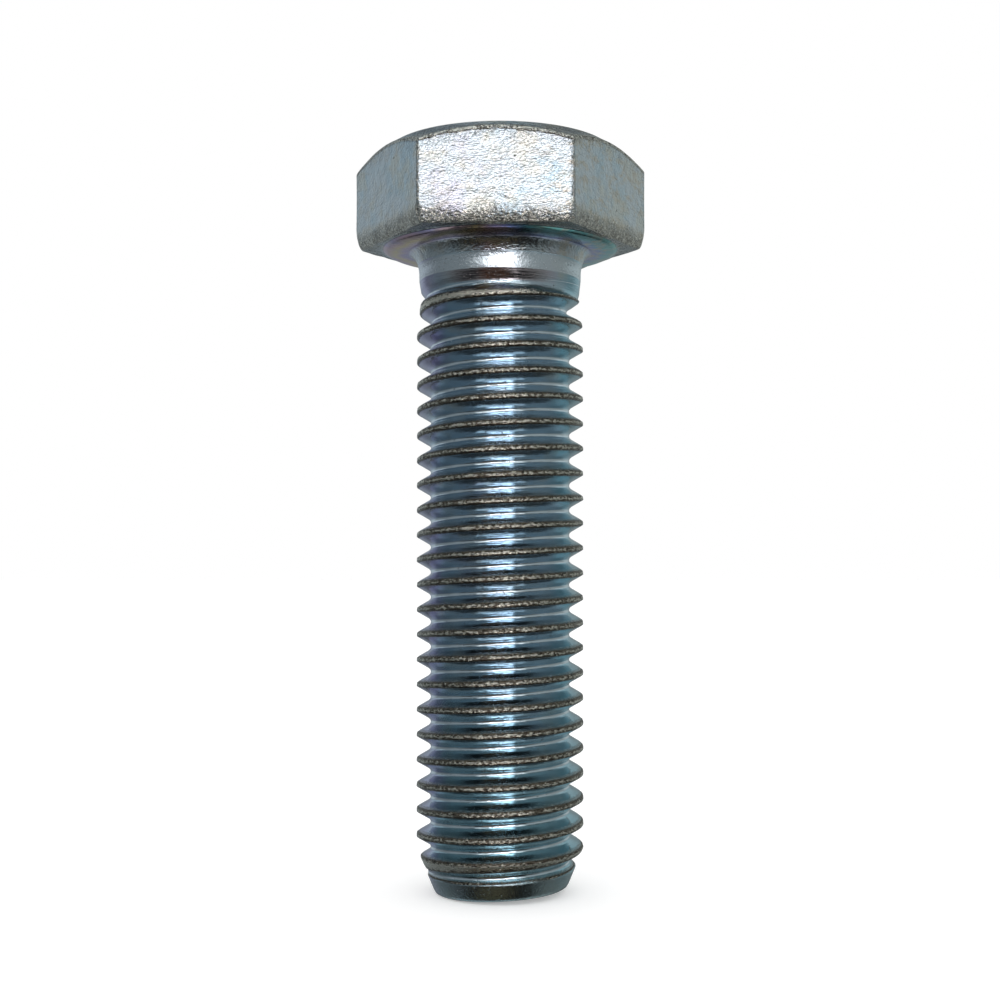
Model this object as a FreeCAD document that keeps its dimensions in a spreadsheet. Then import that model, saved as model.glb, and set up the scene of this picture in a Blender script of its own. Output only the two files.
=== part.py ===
import FreeCAD, Part
import math
import os
import Sketcher

# A hexagon head screw, M12 coarse, threaded to the head: one piece of steel.
# The bearing face under the head lies on z = 0 with the head above it, and the shank
# points down. Two flats of the hexagon face -Y and +Y. Lengths are mm, angles degrees.

SIZES = {
    # thread: 60 degree form, right-hand
    "thread_diameter": 11.8,
    "thread_pitch": 1.75,
    "flank_angle": 60,
    "crest_width": 0.26,
    "root_rounding": 0.28,
    "shank_length": 45,
    # under the head: a fillet, a plain neck, and the run-out, where the groove grows shallow
    "neck_diameter": 11.46,
    "neck_length": 1.95,
    "neck_fillet": 0.8,
    "neck_flare": 30,
    "runout_start": 5.5,
    "runout_length": 3.3,
    "runout_angle": 11,
    # point: a cone that the last turns of the thread run out on
    "point_diameter": 9.1,
    "point_angle": 23,
    "point_rounding": 0.3,
    # head, with a raised washer face under it and a cone cut over its top corners,
    # which starts set in from the flats
    "across_flats": 17.8,
    "head_height": 7.2,
    "edge_rounding": 0.3,
    "washer_diameter": 16.8,
    "washer_height": 0.4,
    "top_inset": 1.05,
    "top_angle": 30,
    "rim_rounding": 0.3,
}

# the run-out is cut in short lengths, because a long conical helix cuts unreliably
RUNOUT_CUTS = 3
# a cut that fails leaves the volume as it was but for rounding, mm3
LEAST_CUT = 1.0


class Formula:
    """A length or an angle, as a number and as the same formula of sheet cells."""

    def __init__(self, number, text):
        self.number = number
        self.text = text

    def __add__(self, other):
        other = as_formula(other)
        return Formula(self.number + other.number, f"({self.text} + {other.text})")

    def __sub__(self, other):
        other = as_formula(other)
        return Formula(self.number - other.number, f"({self.text} - {other.text})")

    def __mul__(self, other):
        other = as_formula(other)
        return Formula(self.number * other.number, f"({self.text} * {other.text})")

    def __truediv__(self, other):
        other = as_formula(other)
        return Formula(self.number / other.number, f"({self.text} / {other.text})")

    def __neg__(self):
        return Formula(-self.number, f"(0 - {self.text})")


def as_formula(value):
    return value if isinstance(value, Formula) else Formula(value, str(value))


def size(name):
    return Formula(SIZES[name], "sizes." + name)


def sin(angle):
    return Formula(math.sin(math.radians(angle.number)), f"sin({angle.text})")


def cos(angle):
    return Formula(math.cos(math.radians(angle.number)), f"cos({angle.text})")


def tan(angle):
    return Formula(math.tan(math.radians(angle.number)), f"tan({angle.text})")


def make_sheet(doc):
    sheet = doc.addObject("Spreadsheet::Sheet", "sizes")
    for row, (name, value) in enumerate(SIZES.items(), start=1):
        sheet.set(f"A{row}", name)
        sheet.set(f"B{row}", str(value))
        sheet.setAlias(f"B{row}", name)
    doc.recompute()


def new_sketch(body, name, role):
    """A sketch on one of the body's own origin planes."""
    plane = next(p for p in body.Origin.OriginFeatures if p.Role == role)
    sketch = body.newObject("Sketcher::SketchObject", name)
    sketch.AttachmentSupport = [(plane, "")]
    sketch.MapMode = "FlatFace"
    return sketch


def tie(sketch, kind, ends, length):
    """Add a dimension and bind it to its formula."""
    index = sketch.addConstraint(Sketcher.Constraint(kind, *ends, length.number))
    sketch.setExpression(f"Constraints[{index}]", length.text)


def tie_corner(sketch, edge, end, across, up):
    """Hold one end of an edge at its distances from the sketch's two axes."""
    for kind, axis, place in (("DistanceX", -2, across), ("DistanceY", -1, up)):
        if place.number == 0:
            on_axis = Sketcher.Constraint("PointOnObject", edge, end, axis)
            sketch.addConstraint(on_axis)
        elif place.number > 0:
            tie(sketch, kind, (-1, 1, edge, end), place)
        else:
            tie(sketch, kind, (edge, end, -1, 1), -place)


def arc_between(start, end, radius, side):
    """The short arc from start to end, its centre left (side 1) or right (-1) of the way.

    A sketch keeps its arcs anticlockwise, so one with its centre on the right is reversed.
    """
    chord = end - start
    reach = math.sqrt(radius**2 - chord.Length**2 / 4)
    left = FreeCAD.Vector(-chord.y, chord.x, 0).normalize()
    centre = (start + end) * 0.5 + left * (side * reach)
    first, last = (start, end) if side == 1 else (end, start)
    from_angle = math.atan2(first.y - centre.y, first.x - centre.x)
    to_angle = math.atan2(last.y - centre.y, last.x - centre.x)
    if to_angle < from_angle:
        to_angle += 2 * math.pi
    circle = Part.Circle(centre, FreeCAD.Vector(0, 0, 1), radius)
    return Part.ArcOfCircle(circle, from_angle, to_angle)


def draw_loop(sketch, corners, arcs=None):
    """Join corners (across, up) in a closed loop held by the corners' formulas.

    An edge is straight unless arcs gives its number a radius and the side of its centre.
    """
    arcs = arcs or {}
    corners = [(as_formula(across), as_formula(up)) for across, up in corners]
    points = [FreeCAD.Vector(across.number, up.number, 0) for across, up in corners]
    count = len(points)
    begins = [1] * count
    for i, start in enumerate(points):
        end = points[(i + 1) % count]
        if i in arcs:
            radius, side = arcs[i]
            begins[i] = 1 if side == 1 else 2
            sketch.addGeometry(arc_between(start, end, radius.number, side), False)
        else:
            sketch.addGeometry(Part.LineSegment(start, end), False)
    for i in range(count):
        after = (i + 1) % count
        ends = (i, 3 - begins[i], after, begins[after])
        sketch.addConstraint(Sketcher.Constraint("Coincident", *ends))
    for i, (radius, _) in arcs.items():
        tie(sketch, "Radius", (i,), radius)
    for i, (across, up) in enumerate(corners):
        tie_corner(sketch, i, begins[i], across, up)


def named_edges(shape, wanted):
    """The names of the edges for which wanted(edge) is true."""
    return [f"Edge{i}" for i, edge in enumerate(shape.Edges, start=1) if wanted(edge)]


def add_head(doc, body):
    """The hexagonal prism above the washer face, with its lower and upright edges rounded."""
    half_flats = size("across_flats") / 2
    corner = size("across_flats") / cos(as_formula(30)) / 2
    sketch = new_sketch(body, "hexagon", "XY_Plane")
    sketch.AttachmentOffset = FreeCAD.Placement(
        FreeCAD.Vector(0, 0, SIZES["washer_height"]), FreeCAD.Rotation()
    )
    sketch.setExpression("AttachmentOffset.Base.z", "sizes.washer_height")
    half_corner = corner / 2
    hexagon = [
        (corner, 0),
        (half_corner, half_flats),
        (-half_corner, half_flats),
        (-corner, 0),
        (-half_corner, -half_flats),
        (half_corner, -half_flats),
    ]
    draw_loop(sketch, hexagon)
    prism = body.newObject("PartDesign::Pad", "head")
    prism.Profile = sketch
    prism.setExpression("Length", "sizes.head_height - sizes.washer_height")
    doc.recompute()

    top = prism.Shape.BoundBox.ZMax
    fillet = body.newObject("PartDesign::Fillet", "rounded_head_edges")
    below_top = named_edges(prism.Shape, lambda e: e.CenterOfMass.z < top - 1e-6)
    fillet.Base = (prism, below_top)
    fillet.setExpression("Radius", "sizes.edge_rounding")
    doc.recompute()


def add_top_cone(doc, body):
    """The cone that takes the top corners off the hexagon, with its inner and outer edges rounded."""
    inner = size("across_flats") / 2 - size("top_inset")
    outer = size("across_flats") / cos(as_formula(30)) / 2 * 1.1
    top = size("head_height")
    clear = top + (outer - inner)
    cone_end = top - (outer - inner) * tan(size("top_angle"))
    sketch = new_sketch(body, "top_cone", "XZ_Plane")
    draw_loop(sketch, [(inner, top), (outer, cone_end), (outer, clear)])
    cone = body.newObject("PartDesign::Groove", "top_corners_off")
    cone.Profile = sketch
    cone.ReferenceAxis = (sketch, ["V_Axis"])
    cone.Angle = 360
    doc.recompute()

    cone_face = next(f for f in cone.Shape.Faces if isinstance(f.Surface, Part.Cone))
    around = named_edges(cone.Shape, lambda e: any(e.isSame(c) for c in cone_face.Edges))
    fillet = body.newObject("PartDesign::Fillet", "rounded_cone_edges")
    fillet.Base = (cone, around)
    fillet.setExpression("Radius", "sizes.rim_rounding")
    doc.recompute()


def add_shank(doc, body):
    """The washer face, fillet, neck, thread cylinder and point, turned as one profile."""
    washer = size("washer_diameter") / 2
    neck = size("neck_diameter") / 2
    thread = size("thread_diameter") / 2
    point = size("point_diameter") / 2
    inside = size("head_height") / 2
    fillet = size("neck_fillet")
    neck_end = size("neck_length")
    thread_start = neck_end + (thread - neck) / tan(size("neck_flare"))
    tip = size("shank_length")
    slope = size("point_angle")
    cone_start = tip - (thread - point) / tan(slope)
    rounding = size("point_rounding")
    tangent = rounding * tan(as_formula(45) - slope / 2)
    sketch = new_sketch(body, "shank_profile", "XZ_Plane")
    profile = [
        (0, inside),
        (washer, inside),
        (washer, 0),
        (neck + fillet, 0),
        (neck, -fillet),
        (neck, -neck_end),
        (thread, -thread_start),
        (thread, -cone_start),
        (point + tangent * sin(slope), -(tip - tangent * cos(slope))),
        (point - tangent, -tip),
        (0, -tip),
    ]
    draw_loop(sketch, profile, arcs={3: (fillet, 1), 8: (rounding, -1)})
    shank = body.newObject("PartDesign::Revolution", "shank")
    shank.Profile = sketch
    shank.ReferenceAxis = (sketch, ["V_Axis"])
    shank.Angle = 360
    doc.recompute()


def groove_section(body, name, climb):
    """The groove's section where it has climbed so far up the run-out, in a plane on the axis.

    It has straight flanks and a round root. Climb 0 is where the groove reaches full depth;
    above that the plane turns with the helix, and the section moves outwards up the cone.
    """
    half_angle = size("flank_angle") / 2
    mouth = (size("thread_pitch") - size("crest_width")) / 2
    crest = size("thread_diameter") / 2 + climb * tan(size("runout_angle"))
    # the section runs on past the crest by a part of the land, so that turns stay apart
    beyond = size("crest_width") / 2
    wide = mouth + beyond * tan(half_angle)
    rounding = size("root_rounding")
    centre = crest - mouth / tan(half_angle) + rounding / sin(half_angle)
    root = centre - rounding * sin(half_angle)
    root_half = rounding * cos(half_angle)
    level = climb - size("runout_start")
    turn = climb / size("thread_pitch") * 360
    sketch = new_sketch(body, name, "YZ_Plane")
    about_axis = FreeCAD.Rotation(FreeCAD.Vector(0, 1, 0), turn.number)
    sketch.AttachmentOffset = FreeCAD.Placement(FreeCAD.Vector(0, 0, 0), about_axis)
    sketch.setExpression("AttachmentOffset.Rotation.Angle", turn.text)
    section = [
        (crest + beyond, level + wide),
        (root, level + root_half),
        (root, level - root_half),
        (crest + beyond, level - wide),
    ]
    draw_loop(sketch, section, arcs={1: (rounding, 1)})
    return sketch


def add_groove(doc, body, name, climb, downward, height, cone_angle):
    """Cut the groove along a right-hand helix that starts where it has climbed so far."""
    sketch = groove_section(body, name + "_section", climb)
    groove = body.newObject("PartDesign::SubtractiveHelix", name)
    groove.Profile = sketch
    groove.ReferenceAxis = (sketch, ["V_Axis"])
    groove.Mode = "pitch-height-angle"
    groove.Reversed = downward
    groove.setExpression("Pitch", "sizes.thread_pitch")
    groove.setExpression("Height", height.text)
    groove.setExpression("Angle", cone_angle.text)
    doc.recompute()


def add_thread(doc, body):
    """The groove at full depth down past the tip, then up the run-out, which is a cone."""
    past_tip = size("shank_length") - size("runout_start") + size("thread_pitch")
    add_groove(doc, body, "thread", as_formula(0), True, past_tip, as_formula(0))
    length = size("runout_length") / RUNOUT_CUTS
    for i in range(RUNOUT_CUTS):
        add_groove(doc, body, f"runout_{i + 1}", length * i, False, length, size("runout_angle"))


def make_screw(doc):
    body = doc.addObject("PartDesign::Body", "hex_bolt")
    body.Label = "hex_bolt"
    add_head(doc, body)
    add_top_cone(doc, body)
    add_shank(doc, body)
    add_thread(doc, body)
    return body


def check(doc, body):
    """Refuse a failed object, an unsound solid, and a cut that takes nothing away."""
    for item in doc.Objects:
        if "Invalid" in item.State or "Error" in item.State:
            raise RuntimeError(f"{item.Name} failed: {item.State}")
    if body.Shape.isNull() or not body.Shape.isValid() or len(body.Shape.Solids) != 1:
        raise RuntimeError(f"{body.Label} is not one valid solid")
    runout = [f"runout_{i + 1}" for i in range(RUNOUT_CUTS)]
    for name in ["top_corners_off", "thread", *runout]:
        cut = doc.getObject(name)
        removed = cut.BaseFeature.Shape.Volume - cut.Shape.Volume
        print(f"{name} removes {removed:.2f} mm3")
        if removed < LEAST_CUT:
            raise RuntimeError(f"{name} cuts nothing")


doc = FreeCAD.newDocument("hex_bolt")
make_sheet(doc)
screw = make_screw(doc)
check(doc, screw)
os.makedirs("parts", exist_ok=True)
screw.Shape.exportStep(f"parts/{screw.Label}.step")
print(f"{screw.Label}: {screw.Shape.Volume:.1f} mm3")
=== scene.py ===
import bpy
import numpy as np
from mathutils import Matrix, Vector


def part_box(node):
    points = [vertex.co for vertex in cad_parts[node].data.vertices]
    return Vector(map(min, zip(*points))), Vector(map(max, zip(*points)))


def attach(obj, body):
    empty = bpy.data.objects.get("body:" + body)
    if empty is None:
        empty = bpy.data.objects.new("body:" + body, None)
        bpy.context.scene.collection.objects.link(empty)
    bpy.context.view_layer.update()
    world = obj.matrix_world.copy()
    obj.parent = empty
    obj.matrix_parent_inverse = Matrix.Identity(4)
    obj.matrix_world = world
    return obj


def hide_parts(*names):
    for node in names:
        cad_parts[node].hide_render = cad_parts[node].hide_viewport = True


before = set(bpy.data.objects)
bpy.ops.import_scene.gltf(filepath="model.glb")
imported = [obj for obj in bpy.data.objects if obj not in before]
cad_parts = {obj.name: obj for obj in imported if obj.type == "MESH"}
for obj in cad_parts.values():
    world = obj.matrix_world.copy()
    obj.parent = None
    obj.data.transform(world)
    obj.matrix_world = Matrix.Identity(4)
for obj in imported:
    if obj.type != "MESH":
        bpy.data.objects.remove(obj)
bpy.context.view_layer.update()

# A hexagon head screw stands on its point, head up. It is one piece of steel, made as two
# meshes that meet on the neck, because each has its own grid: the head and the shank.


# ---------------------------------------------------------------- head
# The head is upset from the wire in a die, so its faces are slightly wavy and its lower
# edges never fill. A cone is pressed over the top corners, and a raised washer face and
# a fillet lead into the neck. The whole screw is plated with zinc and passivated blue.

# sizes are in mm, and heights are from the bearing face under the head
MM = 0.001
screw_low, screw_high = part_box("hex_bolt")
head_top = screw_high.z / MM
half_flats = screw_high.y / MM
corner_rounding = 0.3
top_inset = 1.05
top_circle = half_flats - top_inset
top_cone = np.radians(30)
top_rounding = 0.3
# the flat top lies a hair low, so that its waves stay under the full height
top_level = head_top - 0.02
face_step_height = 2.55
under_height = 0.3
under_rounding = (0.48, 0.95)
washer_radius = 8.4
washer_slope = 0.42
washer_dish = 0.1
neck_radius = 5.73
neck_fillet = 0.8
fillet_length = 1.55
# where the head's mesh ends and the shank's begins, low on the fillet
seam_height = -0.90625


def unevenness(x, y, z, length, seed):
    """A smooth random height between about -1 and 1 at points given in mm.

    It is the mean of fourteen cosine waves, scaled up. Each wave runs in its own random
    direction with its own random phase, and all have about the same given length in mm.
    """
    rng = np.random.default_rng(seed)
    way = rng.normal(size=(14, 3))
    way /= np.linalg.norm(way, axis=1)[:, None]
    number = 2 * np.pi / (length * rng.uniform(0.7, 1.4, 14))
    phase = rng.uniform(0, 2 * np.pi, 14)
    total = 0
    for (a, b, c), k, start in zip(way, number, phase):
        total = total + np.cos(k * (a * x + b * y + c * z) + start)
    return total / 14 * 1.9


def hexagon_reach(angle, apothem, rounding):
    """How far a hexagon with rounded corners reaches from its axis, at each angle.

    On a flat it is the apothem over the cosine of the angle from the flat's middle. In a
    corner it is where the ray leaves a circle of the rounding's radius inside the corner.
    """
    from_flat = (angle - np.pi / 2 + np.pi / 6) % (np.pi / 3) - np.pi / 6
    from_corner = np.pi / 6 - np.abs(from_flat)
    centre = (apothem - rounding) / np.cos(np.pi / 6)
    across = np.maximum(rounding**2 - (centre * np.sin(from_corner)) ** 2, 0)
    in_corner = np.abs(np.tan(from_flat)) * apothem > (apothem - rounding) * np.tan(np.pi / 6)
    on_arc = centre * np.cos(from_corner) + np.sqrt(across)
    return np.where(in_corner, on_arc, apothem / np.cos(from_flat))


def smooth_step(value, low, high):
    """0 below low, 1 above high, and a smooth rise between: 3 t squared less 2 t cubed."""
    t = np.clip((value - low) / (high - low), 0, 1)
    return t * t * (3 - 2 * t)


def head_columns(per_side):
    """Angles round the head, crowded at the corners.

    Each sixth of a turn has a corner in its middle, and the angle from it is 30 degrees
    times a quarter of s plus three quarters of s cubed, for s from -1 to 1.
    """
    s = (np.arange(per_side) + 0.5) / per_side * 2 - 1
    from_corner = np.pi / 6 * (0.25 * s + 0.75 * s**3)
    corners = np.arange(6) * np.pi / 3
    return (corners[:, None] + from_corner[None, :]).ravel()


def fillet_out(z):
    """How far in mm the fillet stands out of the neck at a height: a quarter of an ellipse."""
    up = np.clip(1 + z / fillet_length, 0, 1)
    return neck_fillet * (1 - np.sqrt(1 - up * up))


def head_surface(angle):
    """Rings of the head from the top's middle down to the neck, as radii, heights and wear.

    Radii and heights are in mm, each an array of ring by angle. Wear is 0 on open faces
    and 1 on the edges between them.
    """
    x, y = np.cos(angle), np.sin(angle)
    # points round the head at about its own radius, where the waves of its sides are taken
    side_x, side_y = 9 * x, 9 * y
    wave = unevenness(side_x, side_y, 0, 2.6, 11)
    outline = hexagon_reach(angle, half_flats, corner_rounding * (1.1 + 0.1 * np.maximum(wave, -1)))
    from_flat = (angle - np.pi / 2 + np.pi / 6) % (np.pi / 3) - np.pi / 6
    corner = smooth_step(np.abs(from_flat), np.radians(28.7), np.radians(29.7))
    rings, heights, wears = [], [], []

    def add(radius, height, wear=0.0):
        rings.append(radius + 0 * angle)
        heights.append(height + 0 * angle)
        wears.append(wear + 0 * angle)

    # the flat top and its rounded rim
    rim_start = top_circle - top_rounding * np.tan(top_cone / 2)
    for r in np.linspace(0.45, rim_start, 18):
        uneven = unevenness(r * x, r * y, 0, 3.1, 5)
        add(r, top_level + 0.015 * uneven * (1 - (r / rim_start) ** 4))
    for turn in np.radians([6, 12, 18, 24, 30]):
        rim = rim_start + top_rounding * np.sin(turn)
        add(rim, top_level - top_rounding * (1 - np.cos(turn)), 0.6)

    # the cone over the corners, and the lip that rounds its end into the upright faces
    cone_start = rings[-1]
    cone_height = heights[-1]
    slope = np.tan(top_cone)
    lip = 0.11 + 0.04 * unevenness(side_x, side_y, 0, 1.3, 12)
    cone_end = outline - lip
    for t in np.linspace(0, 1, 11)[1:]:
        r = cone_start + (cone_end - cone_start) * t
        uneven = unevenness(r * x, r * y, 3, 1.8, 13)
        height = cone_height - (r - cone_start) * slope
        add(r, height - 0.012 * (1 + uneven) * np.sin(np.pi * t), 0.3 + 0.7 * t**6)
    edge_height = cone_height - (outline - cone_start) * slope
    lip_height = heights[-1]
    lip_drop = 1.25 * lip
    for t in (0.2, 0.4, 0.6, 0.8, 1.0):
        radius = (1 - t) ** 2 * cone_end + 2 * t * (1 - t) * outline + t * t * outline
        height = (1 - t) ** 2 * lip_height + 2 * t * (1 - t) * edge_height
        add(radius, height + t * t * (edge_height - lip_drop), 1.0)

    # the upright faces: slightly wavy, with a faint step low down where the die parts
    face_top = heights[-1]
    fill = unevenness(side_x, side_y, 0, 1.6, 21)
    wide = under_rounding[0] * (1 + 0.18 * fill)
    tall = under_rounding[1] * (1 + 0.22 * fill) + 0.5 * corner
    face_bottom = under_height + tall
    for t in np.linspace(0, 1, 40)[1:]:
        z = face_top + (face_bottom - face_top) * t
        uneven = unevenness(side_x, side_y, z, 2.3, 31) + 0.5 * unevenness(side_x, side_y, z, 0.9, 32)
        step_at = face_step_height + 0.12 * unevenness(side_x, side_y, 0, 3.0, 33)
        step = np.exp(-(((z - step_at) / 0.09) ** 2)) * 0.012
        inward = 0.009 * (1.5 + uneven) + step
        down = smooth_step(-z, -face_bottom - 0.35, -face_bottom)
        up = smooth_step(z, face_top - 1.1, face_top - 0.2)
        worn = np.maximum.reduce([0.6 * corner, 0.25 * down, 0.8 - 34 * t + 0 * angle, 0.22 * up])
        add(outline - inward * np.sin(np.pi * np.clip(t, 0.02, 0.98)) ** 0.5, z, worn)

    # the under edge, which the die leaves unfilled
    for turn in np.radians([10, 20, 31, 42, 53, 64, 75, 86]):
        bite = unevenness(side_x, side_y, 2.0 * turn, 0.7, 41)
        radius = outline - wide * (1 - np.cos(turn)) - 0.035 * (1 + bite) * np.sin(2 * turn)
        add(radius, under_height + tall * (1 - np.sin(turn)), 0.25 + 0.55 * np.sin(turn))

    # the underside, the slope to the raised washer face, and the slightly dished washer face
    outside = rings[-1] - 0.02
    for t in (0.05, 0.4, 0.75, 1.0):
        add(outside + (washer_radius + 0.04 - outside) * t, under_height, 0.6 - 0.6 * t)
    for t in (0.12, 0.35, 0.65, 0.88, 1.0):
        height = washer_dish + (under_height - washer_dish) * (1 - t) ** 1.2
        add(washer_radius - washer_slope * t, height)
    face_edge = washer_radius - washer_slope
    for t in np.linspace(0, 1, 9)[1:]:
        add(face_edge + (neck_radius + neck_fillet - face_edge) * t, washer_dish * (1 - t) ** 2)

    # the fillet into the neck, as far as the seam, with its last two rings close together
    last = np.arccos(1 + seam_height / fillet_length)
    for turn in np.append(np.linspace(0, last, 15)[1:-1], [last - 0.02, last]):
        z = -fillet_length * (1 - np.cos(turn))
        add(neck_radius + fillet_out(z), z)
    return np.array(rings), np.array(heights), np.array(wears)


def closed_grid(rows, columns):
    """Quads between the rings of a closed grid, with a pole above the first and below the last.

    Vertices count along each ring and then ring by ring; the two poles come last.
    """
    across = np.arange(columns)
    after = (across + 1) % columns
    start = np.arange(rows - 1)[:, None] * columns
    quads = np.stack([start + across, start + columns + across,
                      start + columns + after, start + after], axis=-1).reshape(-1, 4)
    last = (rows - 1) * columns
    top = np.stack([after, 0 * across + rows * columns, across], axis=-1)
    bottom = np.stack([last + across, 0 * across + rows * columns + 1, last + after], axis=-1)
    return quads, top, bottom


def smooth_object(name, points, faces, layers):
    """A smooth-shaded object from points in mm, a list of face arrays, and layers of numbers.

    Each layer is a name with one number for each point. Only edges over 70 degrees stay sharp.
    """
    mesh = bpy.data.meshes.new(name)
    sizes = np.concatenate([np.full(len(f), f.shape[1]) for f in faces])
    corners = np.concatenate([f.ravel() for f in faces])
    mesh.vertices.add(len(points))
    mesh.vertices.foreach_set("co", (points * MM).astype(np.float32).ravel())
    mesh.loops.add(len(corners))
    mesh.loops.foreach_set("vertex_index", corners.astype(np.int32))
    mesh.polygons.add(len(sizes))
    starts = np.concatenate([[0], np.cumsum(sizes)[:-1]])
    mesh.polygons.foreach_set("loop_start", starts.astype(np.int32))
    mesh.update(calc_edges=True)
    for layer, numbers in layers.items():
        kept = mesh.attributes.new(layer, "FLOAT", "POINT")
        kept.data.foreach_set("value", np.asarray(numbers, np.float32).ravel())
    mesh.set_sharp_from_angle(angle=np.radians(70))
    made = bpy.data.objects.new(name, mesh)
    bpy.context.scene.collection.objects.link(made)
    return made


head_angle = head_columns(80)
head_radius, head_height, head_wear = head_surface(head_angle)
head_rows = len(head_radius)
head_points = np.stack([head_radius * np.cos(head_angle), head_radius * np.sin(head_angle),
                        head_height], axis=-1).reshape(-1, 3)
head_poles = [[0, 0, top_level], [0, 0, seam_height]]
head_points = np.concatenate([head_points, head_poles])
bolt_head = smooth_object("bolt_head", head_points, closed_grid(head_rows, len(head_angle)),
                          {"wear": np.concatenate([head_wear.ravel(), [0, 0]])})


class Wire:
    """One value in a material. Sums written with it become Math nodes in that material."""

    def __init__(self, finish, socket):
        self.finish = finish
        self.socket = socket

    def math(self, operation, *values):
        return self.finish.node("ShaderNodeMath", {"operation": operation}, dict(enumerate(values)))

    def __add__(self, other):
        return self.math("ADD", self, other)

    def __sub__(self, other):
        return self.math("SUBTRACT", self, other)

    def __rsub__(self, other):
        return self.math("SUBTRACT", other, self)

    def __mul__(self, other):
        return self.math("MULTIPLY", self, other)

    def __truediv__(self, other):
        return self.math("DIVIDE", self, other)

    def __pow__(self, other):
        return self.math("POWER", self, other)

    def __abs__(self):
        return self.math("ABSOLUTE", self)

    __radd__ = __add__
    __rmul__ = __mul__


class Finish:
    """A material as it is built up: its nodes are made by one method, which returns a Wire."""

    def __init__(self, name):
        self.material = bpy.data.materials.new(name)
        self.material.use_nodes = True
        self.tree = self.material.node_tree
        self.shader = self.tree.nodes["Principled BSDF"]

    def node(self, kind, settings, inputs, output=0):
        """A node of a kind, its settings made first, then values or Wires put into its sockets."""
        made = self.tree.nodes.new(kind)
        for key, value in settings.items():
            if key == "stops":
                self.set_stops(made.color_ramp, value)
            else:
                setattr(made, key, value)
        for key, value in inputs.items():
            self.put(self.find(made.inputs, key), value)
        return Wire(self, self.find(made.outputs, output))

    def find(self, sockets, key):
        """A socket that is in use, by its number or its name."""
        usable = [s for s in sockets if s.enabled]
        return usable[key] if isinstance(key, int) else next(s for s in usable if s.name == key)

    def put(self, socket, value):
        """Link a Wire to a socket, or set it to a number, a vector or a colour without alpha."""
        if isinstance(value, Wire):
            self.tree.links.new(value.socket, socket)
        elif isinstance(value, tuple) and socket.type == "RGBA":
            socket.default_value = (*value, 1)
        else:
            socket.default_value = value

    def set_stops(self, ramp, stops):
        """Give a colour ramp its stops, each a place from 0 to 1 and a colour."""
        while len(ramp.elements) < len(stops):
            ramp.elements.new(1)
        for element, (place, colour) in zip(ramp.elements, stops):
            element.position = place
            element.color = (*colour, 1)

    def fill_shader(self, inputs):
        """Put values or Wires into the main shader's sockets, by the sockets' names."""
        for key, value in inputs.items():
            self.put(self.shader.inputs[key], value)

    def place(self):
        """Where a point of the piece is, in metres: one vector Wire, then its x, y and z."""
        here = self.node("ShaderNodeTexCoord", {}, {}, "Object")
        parts = self.node("ShaderNodeSeparateXYZ", {}, {0: here}).socket.node
        return here, *(Wire(self, output) for output in parts.outputs)

    def blend(self, amount, first, second):
        """The first colour where amount is 0 and the second where it is 1."""
        return self.node("ShaderNodeMix", {"data_type": "RGBA"},
                         {"Factor": amount, "A": first, "B": second})

    def ease(self, value, low, high):
        """0 where value is below low, 1 where it is above high, and smooth between."""
        return self.node("ShaderNodeMapRange", {"interpolation_type": "SMOOTHSTEP"},
                         {"Value": value, "From Min": low, "From Max": high})

    def grain(self, point, per_mm, detail=2.0, roughness=0.5):
        """Noise of about so many grains to the mm, as a Wire around 0.5."""
        return self.node("ShaderNodeTexNoise", {}, {
            "Vector": point, "Scale": per_mm / MM, "Detail": detail, "Roughness": roughness})

    def layer(self, name):
        """The numbers that a mesh carries on its points under this name."""
        return self.node("ShaderNodeAttribute", {"attribute_name": name}, {}, "Fac")


ZINC = (0.53, 0.57, 0.59)
ZINC_WARM = (0.58, 0.56, 0.48)
ZINC_BLUE = (0.40, 0.53, 0.60)
ZINC_LILAC = (0.52, 0.47, 0.57)
DULL_ZINC = (0.46, 0.425, 0.37)
DARK_SPOT = (0.13, 0.10, 0.08)
DARK_PIT = (0.16, 0.10, 0.06)
BROWNISH_ZINC = (0.52, 0.46, 0.37)
FROSTED_ZINC = (0.66, 0.69, 0.71)
WORN_ZINC = (0.80, 0.76, 0.66)
# the film's colours over the washer face, from straw and lilac to blue and teal
FILM_COLOURS = [
    (0.02, (0.40, 0.36, 0.56)), (0.14, (0.60, 0.38, 0.44)), (0.29, (0.72, 0.54, 0.28)),
    (0.42, (0.50, 0.36, 0.54)), (0.58, (0.24, 0.30, 0.62)), (0.72, (0.16, 0.46, 0.53)),
    (0.92, (0.20, 0.52, 0.50))]


def plated_colour(finish, point, zinc):
    """Zinc with the cloudy tints of a thin blue passivate film, which drift over some mm."""
    cloud = finish.grain(point, 0.22, 3.0, 0.55)
    moved = finish.node("ShaderNodeVectorMath", {"operation": "ADD"}, {
        0: point, 1: (0.031, -0.017, 0.043)})
    other = finish.grain(moved, 0.45, 3.0, 0.6)
    colour = finish.blend(finish.ease(cloud, 0.52, 0.68) * 0.6, zinc, ZINC_BLUE)
    colour = finish.blend(finish.ease(cloud, 0.46, 0.30) * 0.5, colour, ZINC_LILAC)
    return finish.blend(finish.ease(other, 0.50, 0.64) * 0.55, colour, ZINC_WARM)


def neck_share(finish, height):
    """1 on the neck and the foot of its fillet, where the plate is frosted, and 0 elsewhere."""
    return finish.ease(height, -0.8 * MM, -1.15 * MM) * finish.ease(height, -2.12 * MM, -2.02 * MM)


head_finish = Finish("plated_head")
here, x_here, y_here, z_here = head_finish.place()
from_axis = (x_here * x_here + y_here * y_here) ** 0.5
wear = head_finish.layer("wear")
colour = plated_colour(head_finish, here, ZINC)

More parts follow.
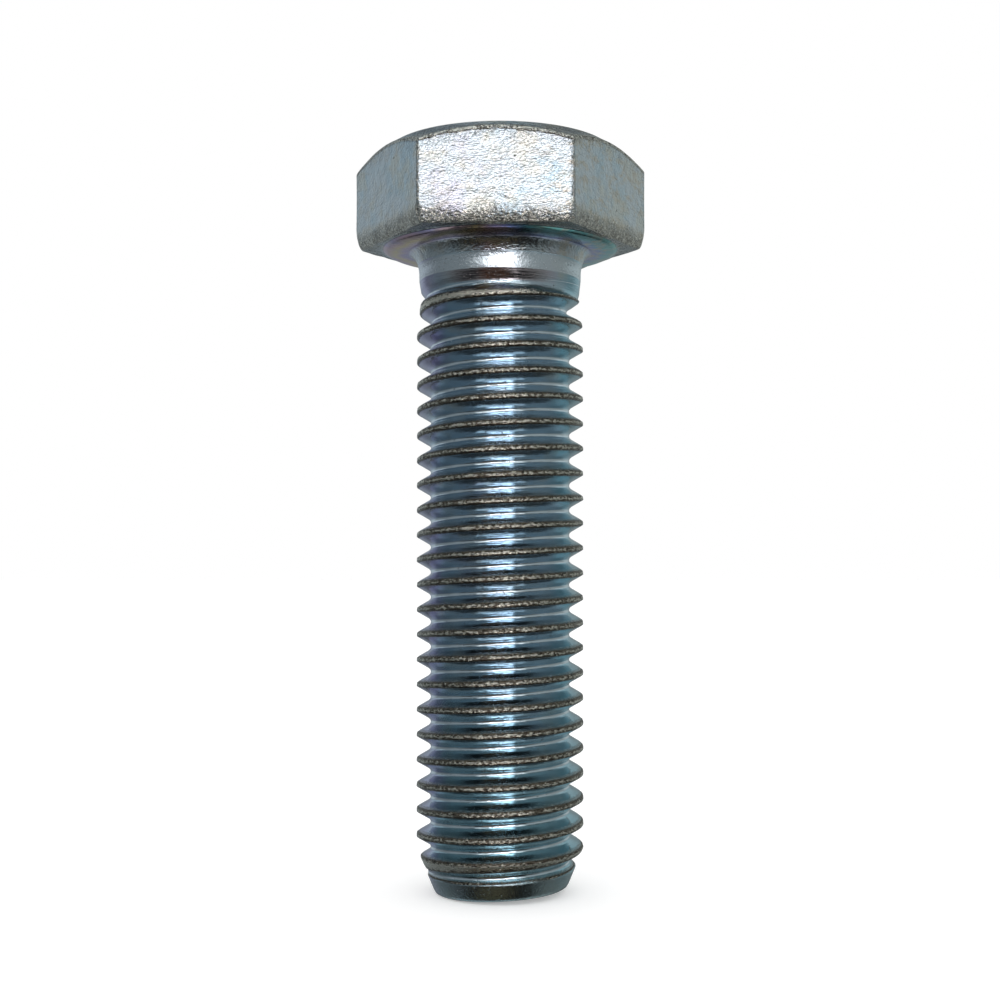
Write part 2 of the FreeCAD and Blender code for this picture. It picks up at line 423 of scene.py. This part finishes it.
# interference colours where the film thins over the washer face: straw and lilac on one
# side of it, blue and teal on the other
on_seat = head_finish.ease(z_here, 0.28 * MM, 0.2 * MM)
on_seat = on_seat * head_finish.ease(from_axis, 6.1 * MM, 6.6 * MM)
drift = head_finish.grain(here, 0.35, 2.0)
outward = (from_axis / MM - 6.5) / 1.9
left_place = 0.42 - outward * 0.36
right_place = 0.58 + outward * 0.30
side = head_finish.ease(x_here, -4.5 * MM, 4.5 * MM)
film = left_place * (1 - side) + right_place * side + (drift - 0.5) * 0.5
film_colour = head_finish.node("ShaderNodeValToRGB", {"stops": FILM_COLOURS}, {"Fac": film})
colour = head_finish.blend(on_seat * 0.95, colour, film_colour)

# dull metal along the edges, in specks that thin out over the faces, and stains, which are
# strongest on the right; low down beside the front the metal is also browner
speck = head_finish.grain(here, 6.5, 3.0, 0.65)
blotch = head_finish.grain(here, 1.3, 3.0, 0.6)
dull = head_finish.ease(wear * 0.62 + (speck - 0.5) * 0.9 + (blotch - 0.5) * 0.5, 0.22, 0.5)
flatter = head_finish.node("ShaderNodeMapping", {}, {"Vector": here, "Scale": (1, 1, 1.7)})
stain = head_finish.ease(head_finish.grain(flatter, 0.8, 4.0, 0.7), 0.46, 0.64)
on_right = head_finish.ease(x_here, 3 * MM, 5 * MM)
colour = head_finish.blend(stain * (0.35 + on_right * 0.35), colour, BROWNISH_ZINC)
low_band = head_finish.ease(z_here + (blotch - 0.5) * (1.6 * MM), 1.9 * MM, 1.1 * MM)
low_band = low_band * head_finish.ease(z_here, 0.25 * MM, 0.4 * MM)
off_front = head_finish.ease(abs(x_here), 4.8 * MM, 5.6 * MM)
colour = head_finish.blend(low_band * (0.15 + off_front * 0.4), colour, BROWNISH_ZINC)
colour = head_finish.blend(dull * 0.7, colour, DULL_ZINC)

# bright worn flecks, dark spots and small dark pits
fleck = head_finish.grain(here, 4.2, 3.0, 0.7)
bright = head_finish.ease(wear * 0.42 + low_band * 0.08 + (fleck - 0.5) * 1.4, 0.32, 0.42)
colour = head_finish.blend(bright * 0.8, colour, WORN_ZINC)
spotted = wear * 0.32 + low_band * 0.05 + (speck - 0.5) * 1.2 + (blotch - 0.5) * 0.5
spots = head_finish.ease(spotted, 0.36, 0.48)
colour = head_finish.blend(spots * 0.8, colour, DARK_SPOT)
pits = head_finish.node("ShaderNodeTexVoronoi", {}, {"Vector": here, "Scale": 0.5 / MM}, "Distance")
pit = head_finish.ease(pits + (speck - 0.5) * 0.14, 0.045, 0.02)
colour = head_finish.blend(pit * 0.75, colour, DARK_PIT)
neck = neck_share(head_finish, z_here)
colour = head_finish.blend(neck * 0.8, colour, FROSTED_ZINC)

# the hammered skin of the plate: fine grains, wider than they are tall, on broad ones
fine = head_finish.grain(flatter, 4.6, 2.0)
broad = head_finish.grain(here, 1.5, 2.0)
open_face = 1 - head_finish.ease(on_seat + neck, 0.0, 1.0) * 0.8
skin = (fine * (0.8 + dull + wear * 1.6) + broad * 1.1) * open_face - pit - spots * 0.3
skin_bump = head_finish.node("ShaderNodeBump", {}, {
    "Strength": 1.0, "Distance": 0.05 * MM, "Height": skin})
roughness = 0.19 - wear * 0.05 + neck * 0.06 - on_seat * 0.08 + speck * 0.06
head_finish.fill_shader({
    "Base Color": colour, "Metallic": 1.0, "Roughness": roughness, "Normal": skin_bump})

bolt_head.data.materials.append(head_finish.material)
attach(bolt_head, "root")
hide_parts("hex_bolt")


# ---------------------------------------------------------------- shank
# The shank is turned to a neck and a coned point, and the thread is rolled between dies.
# Rolling lifts the metal into each crest from both sides, so the crest closes in a rough
# fold, the flanks are smooth with fine lines along them, and the grooves fade at the neck.

pitch = 1.75
crest_radius = 5.9
groove_half = 0.745
root_rounding = 0.28
flank_angle = np.radians(30)
flank_slope = 1 / np.tan(flank_angle)
# the heights between which the groove is cut
groove_start = -2.95
groove_end = -44.8
crease_height = -3.3
crease_facing = np.radians(262)
cone_slope = np.tan(np.radians(23))
point_radius = 4.55
tip_height = screw_low.z / MM
# rows of the mesh follow the helix from the seam, and the groove passes the back on one of them
turns = 24.5
rows_per_turn = 16
rows_above = 42
shank_columns = 224
groove_at_back = seam_height - pitch * rows_above / rows_per_turn


def body_radius(z, angle):
    """The radius in mm of the neck and of the crests below it, before the groove is cut.

    It is straight runs between steps, plus the foot of the fillet, less the crease that ends
    the neck: a slope down to its root and a shorter one up again, 0.31 mm deep on the front
    and 0.09 mm behind. Away from the front a narrow notch 0.13 mm deep runs along the root.
    """
    plain = np.interp(-z, [0.9, 2.0, 3.0, 4.3, 5.1, 5.6],
                      [neck_radius, 5.72, 5.70, 5.71, 5.86, crest_radius])
    crease = np.interp(-z, [2.0, 2.06, 2.76, 3.0, 3.2, 3.5, 3.6], [0, 0.04, 0.88, 0.98, 1, 0.08, 0])
    in_front = np.maximum(np.cos(angle - crease_facing), 0)
    notch = np.exp(-(((z - crease_height) / 0.16) ** 2)) * (1 - in_front)
    return plain + fillet_out(z) - crease * (0.09 + 0.22 * in_front) - 0.13 * notch


def cone_radius(z):
    """The radius in mm of the point's cone at each height, growing past the crests above."""
    return point_radius + (z - tip_height) * cone_slope


def groove_share(centre):
    """How deep the groove is cut, from 0 to 1, by the height in mm of its own middle.

    It fades in over 1.25 mm below the neck and out over 1.5 mm above its end.
    """
    return np.clip((groove_start - centre) / 1.25, 0, 1) * np.clip((centre - groove_end) / 1.5, 0, 1)


def groove_depth(x):
    """How far in mm a full groove is cut below the crests, by the distance x from its middle.

    Straight flanks at 30 degrees to the shank's radius, and an arc at the root.
    """
    deepest = groove_half * flank_slope
    centre = deepest - root_rounding / np.sin(flank_angle)
    foot = root_rounding * np.cos(flank_angle)
    arc = centre + np.sqrt(np.maximum(root_rounding**2 - x**2, 0))
    return np.where(np.abs(x) < foot, arc, deepest - np.abs(x) * flank_slope)


def shank_surface():
    """The rows of the shank as angles, radii and heights, with layers for its finish.

    Rows follow the helix: each starts at the back and has climbed one pitch by the time
    it comes round, where it joins the row one turn above. Within a pitch the rows lie on
    the groove's root, flanks and edges and on the crest, wherever the groove has them.
    """
    row = np.arange(int((turns + 1) * rows_per_turn) + 1)[:, None]
    turn_of = np.arange(shank_columns)[None, :] / shank_columns
    angle = np.pi / 2 + 2 * np.pi * turn_of
    even = row / rows_per_turn - turn_of
    phase = (row - rows_above) / rows_per_turn
    local = phase - np.round(phase)
    centre = groove_at_back - pitch * (np.round(phase) - turn_of)
    share = groove_share(centre)
    half = groove_half * np.maximum(share, 1e-3) ** 0.22
    # where the groove comes out of the surface, on its upper and its lower side
    deepest = crest_radius - share * groove_half * flank_slope
    lean = flank_slope + cone_slope * np.sign(local)
    edge = np.clip((cone_radius(centre) - deepest) / lean, 0.1, half)
    root_foot = root_rounding * np.cos(flank_angle) / groove_half
    side = np.abs(local) * rows_per_turn
    last = np.where(local > 0, 0.82, 0.93)
    inside = np.interp(side, [0, 1, 2, 3, 5], [0, 0.5 * root_foot, root_foot, 0.6, 1.0])
    inside = np.where(side == 4, last, inside)
    outside = np.interp(side, [5, 6, 7, 8], [0, 0.45, 0.8, 1.0])
    placed = np.where(side <= 5, inside * edge, edge + outside * (pitch / 2 - edge))
    settle = smooth_step(even, 0.1, 0.5) * smooth_step(turns - even, 0.1, 0.5)
    x = settle * placed * np.sign(local) + (1 - settle) * local * pitch
    z = seam_height - pitch * even - (x - local * pitch)
    cut = share * np.maximum(groove_depth(x * groove_half / half), 0)
    grooved = body_radius(z, angle) - cut
    cone = cone_radius(z)
    radius = 0.5 * (grooved + cone - np.sqrt((grooved - cone) ** 2 + 0.03**2))
    on_cone = smooth_step(grooved - cone, 0.0, 0.08)
    # the cone cuts the last crests too, and they stay torn as long as a groove lies below them
    below = np.where(local > 0, groove_share(centre - pitch), share)
    on_cone = on_cone * (1 - smooth_step(below, 0.15, 0.6))
    threaded = smooth_step(-z, 3.35, 3.6) * (1 - on_cone)
    rim = np.clip(np.abs(x) - edge, -0.4, 0.4)
    crest = smooth_step(rim, -0.05, 0.01) * threaded
    border = np.exp(-(((cone - grooved + 0.02) / 0.09) ** 2)) * smooth_step(share, 0.1, 0.4)
    torn_edge = np.maximum(threaded, border)
    smeared = smooth_step(x, edge - 0.34, edge - 0.05) * threaded
    lower = smooth_step(x, -0.08, 0.08) * smooth_step(cut, 0.0, 0.15)
    shoulder = np.exp(-(((x - edge) / 0.07) ** 2)) * threaded
    # the torn metal along the crest, its rounder upper shoulder, and the dies' slight waves
    crest_x, crest_y = crest_radius * np.cos(angle), crest_radius * np.sin(angle)
    torn = unevenness(crest_x, crest_y, z, 0.55, 51) + 0.6 * unevenness(crest_x, crest_y, z, 0.3, 52)
    radius = radius - crest * 0.016 * (1.6 + torn) - 0.03 * shoulder
    open_rows = smooth_step(even, 0, 0.3) * smooth_step(turns - even, 0, 0.3)
    radius = radius - 0.006 * (1 + unevenness(crest_x, crest_y, z, 6.0, 53)) * open_rows
    rim = np.where(border > threaded, 0.08 - 0.3 * (1 - border), rim)
    layers = {"rim": rim, "torn": torn_edge, "smear": smeared, "cone": on_cone,
              "groove": np.abs(x) / half, "lower": lower}
    return angle + 0 * z, radius, z, layers


# the helix rows are cut off level at the seam above and on the cone below, where rings go on
# round the point's edge to its end, which the shears leave slanted and slightly hollow
shank_angle, shank_radius, shank_height, shank_layers = shank_surface()
shank_rows = len(shank_radius)
around = 2 * np.pi * np.arange(shank_columns) / shank_columns
clip_height = seam_height - pitch * turns
end_radius = 4.6
# how far the shears left the end's rim raised: not at all on the left, most on the right
end_slant = 0.22 * (1 - np.sin(around))
# radius and rise above the tip, from the cone round the edge to the middle of the end
end_profile = [(4.806, 0.6), (4.73, 0.42), (4.652, 0.24), (4.56, 0.09), (4.42, 0.015), (4.28, 0.0),
               (3.4, 0.0), (2.9, 0.04), (2.2, 0.14), (1.2, 0.2), (0.5, 0.21)]
end_hollow = 0.23


def ring(radius, height):
    """One ring of the shank's columns, in mm, starting at the back and going round left."""
    angle = np.pi / 2 + around
    return np.stack([radius * np.cos(angle), radius * np.sin(angle), height + 0 * angle], axis=-1)


rings_below = []
for radius, rise in end_profile:
    widened = radius * (1 + end_slant * cone_slope / end_radius)
    rings_below.append(ring(widened, tip_height + rise + end_slant * radius / end_radius))
helix_points = np.stack([shank_radius * np.cos(shank_angle), shank_radius * np.sin(shank_angle),
                         shank_height], axis=-1).reshape(-1, 3)
shank_points = np.concatenate([
    helix_points, ring(neck_radius + fillet_out(seam_height), seam_height),
    ring(cone_radius(clip_height), clip_height), *rings_below,
    [[0, 0, seam_height], [0, 0, tip_height + end_hollow]]])

# quads between the helix rows: a corner above the seam or below the cut on the cone moves onto
# the level ring there, and a quad with one side shut by that is a triangle
helix_count = shank_rows * shank_columns
row_of, column_of = np.meshgrid(np.arange(shank_rows), np.arange(shank_columns + 1), indexing="ij")
turn_at = row_of / rows_per_turn - column_of / shank_columns
wrapped = column_of % shank_columns
row_there = np.where(column_of == shank_columns, row_of - rows_per_turn, row_of)
corner_at = row_there * shank_columns + wrapped
corner_at = np.where(turn_at < 1e-9, helix_count + wrapped, corner_at)
corner_at = np.where(turn_at > turns - 1e-9, helix_count + shank_columns + wrapped, corner_at)
cells = np.stack([corner_at[:-1, :-1], corner_at[1:, :-1],
                  corner_at[1:, 1:], corner_at[:-1, 1:]], axis=-1).reshape(-1, 4)
left_shut = cells[:, 0] == cells[:, 1]
right_shut = cells[:, 2] == cells[:, 3]
round_point, _, end_cap = closed_grid(len(rings_below) + 1, shank_columns)
first_ring = helix_count + shank_columns
seam_pole = len(shank_points) - 2
seam_ring = helix_count + np.arange(shank_columns)
shank_faces = [
    cells[~left_shut & ~right_shut],
    cells[left_shut & ~right_shut][:, [0, 2, 3]],
    cells[~left_shut & right_shut][:, [0, 1, 2]],
    round_point + first_ring,
    np.stack([np.roll(seam_ring, -1), 0 * seam_ring + seam_pole, seam_ring], axis=-1),
    end_cap + first_ring,
]
# only the points that a face uses are kept
used = np.unique(np.concatenate([f.ravel() for f in shank_faces]))
renumbered = np.zeros(len(shank_points), int)
renumbered[used] = np.arange(len(used))
# the rings and poles beyond the helix rows carry no torn metal, and all but the seam's ring
# are on the cone
extra = np.arange(len(shank_points) - helix_count)
on_extra = {"rim": -0.4, "torn": 0, "smear": 0, "cone": extra >= shank_columns, "groove": 1, "lower": 0}
shank_numbers = {layer: np.append(numbers, on_extra[layer] + 0.0 * extra)[used]
                 for layer, numbers in shank_layers.items()}
bolt_shank = smooth_object("bolt_shank", shank_points[used],
                           [renumbered[f] for f in shank_faces if len(f)], shank_numbers)

ZINC_DEEP = (0.50, 0.60, 0.65)
ZINC_ROOT = (0.42, 0.56, 0.65)
# painted shade: the darker violet of each groove's lower flank
VIOLET_FLANK_SHADE = (0.44, 0.47, 0.62)
# painted sheen: the film's glancing-angle tints, darker, fixed onto the screw's two sides
MAUVE_GLANCING_SHEEN = (0.39, 0.35, 0.53)
GREEN_GLANCING_SHEEN = (0.26, 0.48, 0.56)
ZINC_TEAL = (0.41, 0.60, 0.64)
# painted highlight: the pale line along the very root
PALE_ROOT_HIGHLIGHT = (0.80, 0.86, 0.90)
# painted reflection: the dark brown on the front slope of the crease
PAINTED_BROWN_REFLECTION = (0.40, 0.28, 0.26)
# the torn crest: its dark edges and bright middle chips are also painted shade and highlight
TORN_ZINC_AND_EDGE_SHADE = (0.15, 0.125, 0.095)
TORN_BLACK = (0.05, 0.04, 0.03)
TORN_CHIP_AND_GLINT = (0.84, 0.79, 0.67)
SMEARED_ZINC = (0.40, 0.37, 0.31)

thread_finish = Finish("plated_thread")
here, x_here, y_here, z_here = thread_finish.place()
rim = thread_finish.layer("rim")
torn_edge = thread_finish.layer("torn")
smear = thread_finish.layer("smear")
cone = thread_finish.layer("cone")
groove = thread_finish.layer("groove")
lower = thread_finish.layer("lower")

# the film is bluer down in the groove and teal towards the point. Painted shade makes the lower
# flank darker and violet, a painted glancing-angle sheen makes one side of the screw mauve and the
# other green, both darker, and a painted highlight makes the very root pale and bright
drift = thread_finish.grain(here, 0.3, 3.0)
colour = plated_colour(thread_finish, here, ZINC_DEEP)
colour = thread_finish.blend(thread_finish.ease(groove, 0.75, 0.25) * 0.6, colour, ZINC_ROOT)
colour = thread_finish.blend(lower * 0.3, colour, VIOLET_FLANK_SHADE)
to_point = thread_finish.ease(z_here, -24 * MM, -42 * MM)
colour = thread_finish.blend(to_point * 0.6, colour, ZINC_TEAL)
# painted sheen and shade, mauve on the screw's left and green on its right
off_middle = x_here + (drift - 0.5) * (3 * MM)
on_left = thread_finish.ease(off_middle, -3.7 * MM, -5.2 * MM)
colour = thread_finish.blend(on_left * 0.85, colour, MAUVE_GLANCING_SHEEN)
on_right = thread_finish.ease(off_middle, 3.6 * MM, 5.2 * MM)
colour = thread_finish.blend(on_right * 0.8, colour, GREEN_GLANCING_SHEEN)
# a painted highlight along the very root of the groove
colour = thread_finish.blend(thread_finish.ease(groove, 0.17, 0.07) * 0.85, colour, PALE_ROOT_HIGHLIGHT)

# torn metal on the crests: dark, with bright chips along its middle and black lines along its
# edges, which are also a painted highlight and painted shade of its rounded form; above it a smear
# of grey metal on the flank
along = thread_finish.node("ShaderNodeMapping", {}, {"Vector": here, "Scale": (0.85, 0.85, 1.5)})
speck = thread_finish.grain(here, 5.5, 3.0, 0.7)
chips = thread_finish.grain(along, 5.0, 3.0, 0.65)
torn = thread_finish.ease(rim + (speck - 0.5) * 0.14, -0.11, -0.07) * torn_edge
chips_and_glint = thread_finish.ease(rim + (chips - 0.5) * 0.9, 0.03, 0.16)
smudge = thread_finish.ease(smear + (speck - 0.5) * 1.0 + (chips - 0.5) * 0.8, 0.35, 0.85)
torn_and_shaded_colour = thread_finish.blend(thread_finish.ease(speck, 0.50, 0.42), TORN_ZINC_AND_EDGE_SHADE, TORN_BLACK)
torn_and_shaded_colour = thread_finish.blend(chips_and_glint * 0.85, torn_and_shaded_colour, TORN_CHIP_AND_GLINT)
colour = thread_finish.blend(smudge * 0.6, colour, SMEARED_ZINC)

# the neck and the crease that ends it, whose front slope is painted dark brown as a painted
# reflection, and the cone's dull pits
neck = neck_share(thread_finish, z_here)
in_crease = thread_finish.ease(z_here, -1.98 * MM, -2.1 * MM)
in_crease = in_crease * thread_finish.ease(z_here, -3.6 * MM, -3.3 * MM)
# a painted reflection in a band on the front of the crease's downward slope
brown_reflection_band = in_crease * thread_finish.ease(z_here, -2.95 * MM, -2.75 * MM)
brown_reflection_band = brown_reflection_band * thread_finish.ease(y_here, -3.6 * MM, -5.2 * MM)
colour = thread_finish.blend(brown_reflection_band * 0.7, colour, PAINTED_BROWN_REFLECTION)
colour = thread_finish.blend(neck * 0.8, colour, FROSTED_ZINC)
dull = thread_finish.ease(cone + (speck - 0.5) * 0.6, 0.4, 0.9)
colour = thread_finish.blend(dull * 0.3, colour, DULL_ZINC)
pits = thread_finish.ease(chips * 0.6 + speck * 0.4, 0.40, 0.34)
colour = thread_finish.blend(pits * 0.7, colour, DARK_SPOT)
colour = thread_finish.blend(torn, colour, torn_and_shaded_colour)

# fine lines that the dies leave along the thread and level ones across the crease, broken up
# by the grain of the plate
rolled = thread_finish.node("ShaderNodeCombineXYZ", {}, {
    0: x_here * 0.5, 1: y_here * 0.5, 2: groove * (3.4 * MM) + z_here * 0.4})
lines = thread_finish.grain(rolled, 1.6, 2.0, 0.7)
flattened = thread_finish.node("ShaderNodeMapping", {}, {"Vector": here, "Scale": (0.25, 0.25, 3.5)})
level_lines = thread_finish.grain(flattened, 2.5, 3.0, 0.7)
clean = 1 - thread_finish.ease(torn + dull + neck + in_crease, 0.0, 1.0)
fine = thread_finish.grain(here, 4.6, 2.0)
skin = lines * clean * 0.45 + fine * (neck * 0.6 + clean * 0.1) + level_lines * in_crease * 0.7
skin = skin + chips * torn * 1.6 + speck * (torn * 1.4 + smudge * 0.8 + dull * 1.1) - pits * 0.4
skin_bump = thread_finish.node("ShaderNodeBump", {}, {
    "Strength": 1.0, "Distance": 0.035 * MM, "Height": skin})
roughness = 0.08 + torn * 0.12 + smudge * 0.12 + dull * 0.05 + neck * 0.16 + speck * 0.05
thread_finish.fill_shader({
    "Base Color": colour, "Metallic": 1.0, "Roughness": roughness, "Normal": skin_bump})

bolt_shank.data.materials.append(thread_finish.material)
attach(bolt_shank, "root")
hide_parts("hex_bolt")


# ---------------------------------------------------------------- floor, tent and lights
# The screw stands on a plain pale floor. Bright metal shows what is round it, so a grey tent
# with a bright window in front hangs round the bench, seen only as a reflection. Two soft
# lamps and the white room light the floor, and the metal does not show them.

floor_reach = 4.0
floor_height = screw_low.z
PALE_FLOOR = (0.86, 0.86, 0.86)
FLOOR_GLOW = (0.3, 0.3, 0.3)
NO_GLOW = (0.0, 0.0, 0.0)

floor_mesh = bpy.data.meshes.new("floor")
floor_mesh.from_pydata([(-floor_reach, -floor_reach, floor_height),
                        (floor_reach, -floor_reach, floor_height),
                        (floor_reach, floor_reach, floor_height),
                        (-floor_reach, floor_reach, floor_height)], [], [(0, 1, 2, 3)])
floor = bpy.data.objects.new("floor", floor_mesh)
bpy.context.scene.collection.objects.link(floor)
floor_finish = Finish("pale_floor")
seen = floor_finish.node("ShaderNodeLightPath", {}, {}, "Is Camera Ray")
floor_finish.fill_shader({
    "Base Color": PALE_FLOOR, "Roughness": 0.9,
    "Emission Color": floor_finish.blend(seen, NO_GLOW, FLOOR_GLOW), "Emission Strength": 1.0})
floor.data.materials.append(floor_finish.material)
floor.visible_glossy = False

# the tent's radius in metres, its grid, and the colours of its cloth, bench and window
tent_radius = 0.6
tent_rings = 24
tent_columns = 64
CLOTH_LEFT = (0.84, 0.98, 1.07)
CLOTH_RIGHT = (0.88, 1.0, 1.02)
BROWN_BENCH = (1.0, 0.62, 0.42)
DULL_CARD = (1.0, 0.84, 0.50)
LOW_PANE = (1.02, 0.99, 1.05)
HIGH_PANE = (0.96, 1.0, 1.02)


def tent_surface(rings_up, columns):
    """Points of a round tent, in metres: level rings on a sphere, 5 degrees short of its poles."""
    rise = np.linspace(-85, 85, rings_up)[:, None] * np.pi / 180
    round_it = np.arange(columns)[None, :] * 2 * np.pi / columns
    across = tent_radius * np.cos(rise)
    return np.stack([across * np.cos(round_it), across * np.sin(round_it),
                     tent_radius * np.sin(rise) + 0 * round_it], axis=-1).reshape(-1, 3)


tent_poles = [[0, 0, -tent_radius], [0, 0, tent_radius]]
tent_points = np.concatenate([tent_surface(tent_rings, tent_columns), tent_poles]) / MM
tent = smooth_object("tent", tent_points, closed_grid(tent_rings, tent_columns), {})
tent_finish = Finish("tent_cloth")
x_spot, y_spot, z_spot = tent_finish.place()[1:]
# directions from the screw in degrees: to the right of the front, and above level
sideways = x_spot.math("ARCTAN2", x_spot, y_spot * -1) * (180 / np.pi)
upward = z_spot.math("ARCSINE", z_spot / tent_radius) * (180 / np.pi)
aside = abs(sideways)

# walls: grey, lighter to the right and at the rear sides, dark in a high band, light overhead;
# below_head marks their lower part, which the shank reflects and the sides of the head do not
behind = tent_finish.ease(aside, 150, 172)
level = 0.24 + tent_finish.ease(sideways, -40, 60) * 0.09
below_head = tent_finish.ease(upward, 11, 2)
level = level + tent_finish.ease(aside, 98, 124) * (1 - below_head) * 0.22
level = level + tent_finish.ease(sideways, -98, -124) * 0.04
level = level + tent_finish.ease(sideways, -126, -142) * 0.06
low_sides = tent_finish.ease(aside, 126, 142) * 0.16 - tent_finish.ease(aside, 74, 98) * 0.05
level = level + below_head * low_sides
level = level * (1 - tent_finish.ease(upward, 24, 30) * 0.8) * (1 - behind * 0.35)
level = level + tent_finish.ease(upward, 44, 56) * (0.56 + tent_finish.ease(aside, 125, 100) * 0.34)

# a dark bench below: lighter at both sides and at the rear, and brown in front, with a dull
# card lying on it near the screw
beside = tent_finish.ease(aside, 45, 85) * (1 - behind) * tent_finish.ease(upward, -56, -40)
low_down = tent_finish.ease(upward, -13, -30)
level = level * (1 - low_down * (0.96 - beside * 0.52))
cloth = tent_finish.blend(tent_finish.ease(sideways, -120, 110), CLOTH_LEFT, CLOTH_RIGHT)
near = tent_finish.ease(abs(sideways + 7), 24, 18) * tent_finish.ease(upward, -15, -20)
near = near * tent_finish.ease(upward, -46, -36)
cloth = tent_finish.blend(near, cloth, BROWN_BENCH)
card = tent_finish.ease(abs(sideways + 11), 40, 35)
card = card * tent_finish.ease(upward, -47, -51) * tent_finish.ease(upward, -68, -64)
cloth = tent_finish.blend(card, cloth, DULL_CARD)
far_aside = tent_finish.ease(aside, 96, 125) * tent_finish.ease(upward, -44, -52)
level = level + near * 0.05 + card * 0.12 + far_aside * 0.46

# the window: wide and dim above, and bright lower down, where its left side closes in
higher = tent_finish.ease(upward, 9, 13)
left_edge = tent_finish.ease(upward, 6.5, -9.5) * 38 - higher * 20 - 19
right_edge = higher * 20 + 23
window = tent_finish.ease(sideways - left_edge, -6, 5) * tent_finish.ease(sideways - right_edge, 5, -5)
window = window * tent_finish.ease(upward, -20, -14) * tent_finish.ease(upward, 32, 26)
high_pane = tent_finish.ease(upward, 8, 12)
level = level * (1 - window) + window * (2.9 + tent_finish.ease(upward, -8, 0) * 1.5)
level = level - window * high_pane * 3.17
cloth = tent_finish.blend(window, cloth, tent_finish.blend(high_pane, LOW_PANE, HIGH_PANE))
tent_light = tent_finish.node("ShaderNodeEmission", {}, {"Color": cloth, "Strength": level})
tent_finish.put(tent_finish.tree.nodes["Material Output"].inputs["Surface"], tent_light)
tent.data.materials.append(tent_finish.material)
for unseen in ("visible_camera", "visible_diffuse", "visible_shadow", "visible_transmission"):
    setattr(tent, unseen, False)


def lamp(name, sideways, upward, width, height, level):
    """A soft oblong lamp half a metre from the screw, aimed at it, of the given light level.

    Its direction is in degrees to the right of the front and above level.
    """
    data = bpy.data.lights.new(name, "AREA")
    data.shape = "RECTANGLE"
    data.size = width
    data.size_y = height
    data.energy = level * np.pi * width * height
    made = bpy.data.objects.new(name, data)
    across, lift = np.radians(sideways), np.radians(upward)
    back = np.array([np.sin(across) * np.cos(lift), -np.cos(across) * np.cos(lift), np.sin(lift)])
    right = np.array([np.cos(across), np.sin(across), 0])
    up = np.cross(back, right)
    turn = Matrix(np.stack([right, up, back], axis=1).tolist()).to_4x4()
    made.matrix_world = Matrix.Translation((back * 0.5).tolist()) @ turn
    made.visible_camera = False
    made.visible_glossy = False
    bpy.context.scene.collection.objects.link(made)


lamp("soft_lamp_above", -10, 17, 0.50, 0.16, 1.2)
lamp("soft_lamp_front", 7, -4, 0.40, 0.3, 1.2)

world = bpy.data.worlds.new("white_room")
bpy.context.scene.world = world
world.use_nodes = True
world.node_tree.nodes["Background"].inputs["Color"].default_value = (1, 1, 1, 1)
world.node_tree.nodes["Background"].inputs["Strength"].default_value = 1.0
world.cycles_visibility.glossy = False


# ---------------------------------------------------------------- camera
# A close view level with the middle of the shank, looking up by one degree and turned just
# off the front flat. Places are in metres and angles in degrees.

camera_distance = 0.1057
camera_height = -0.0225
camera_tilt = 1.02
camera_turn = 1.9

camera_data = bpy.data.cameras.new("camera")
camera_data.sensor_width = 36
camera_data.lens = 53.82
camera_data.shift_y = 0.045
camera_data.clip_start = 0.005
camera_data.clip_end = 20
camera = bpy.data.objects.new("camera", camera_data)
bpy.context.scene.collection.objects.link(camera)
bpy.context.scene.camera = camera
turned = Matrix.Rotation(np.radians(camera_turn), 4, "Z")
tilted = Matrix.Rotation(np.radians(90 + camera_tilt), 4, "X")
camera.matrix_world = turned @ Matrix.Translation((0, -camera_distance, camera_height)) @ tilted

bpy.context.scene.view_settings.view_transform = "Standard"
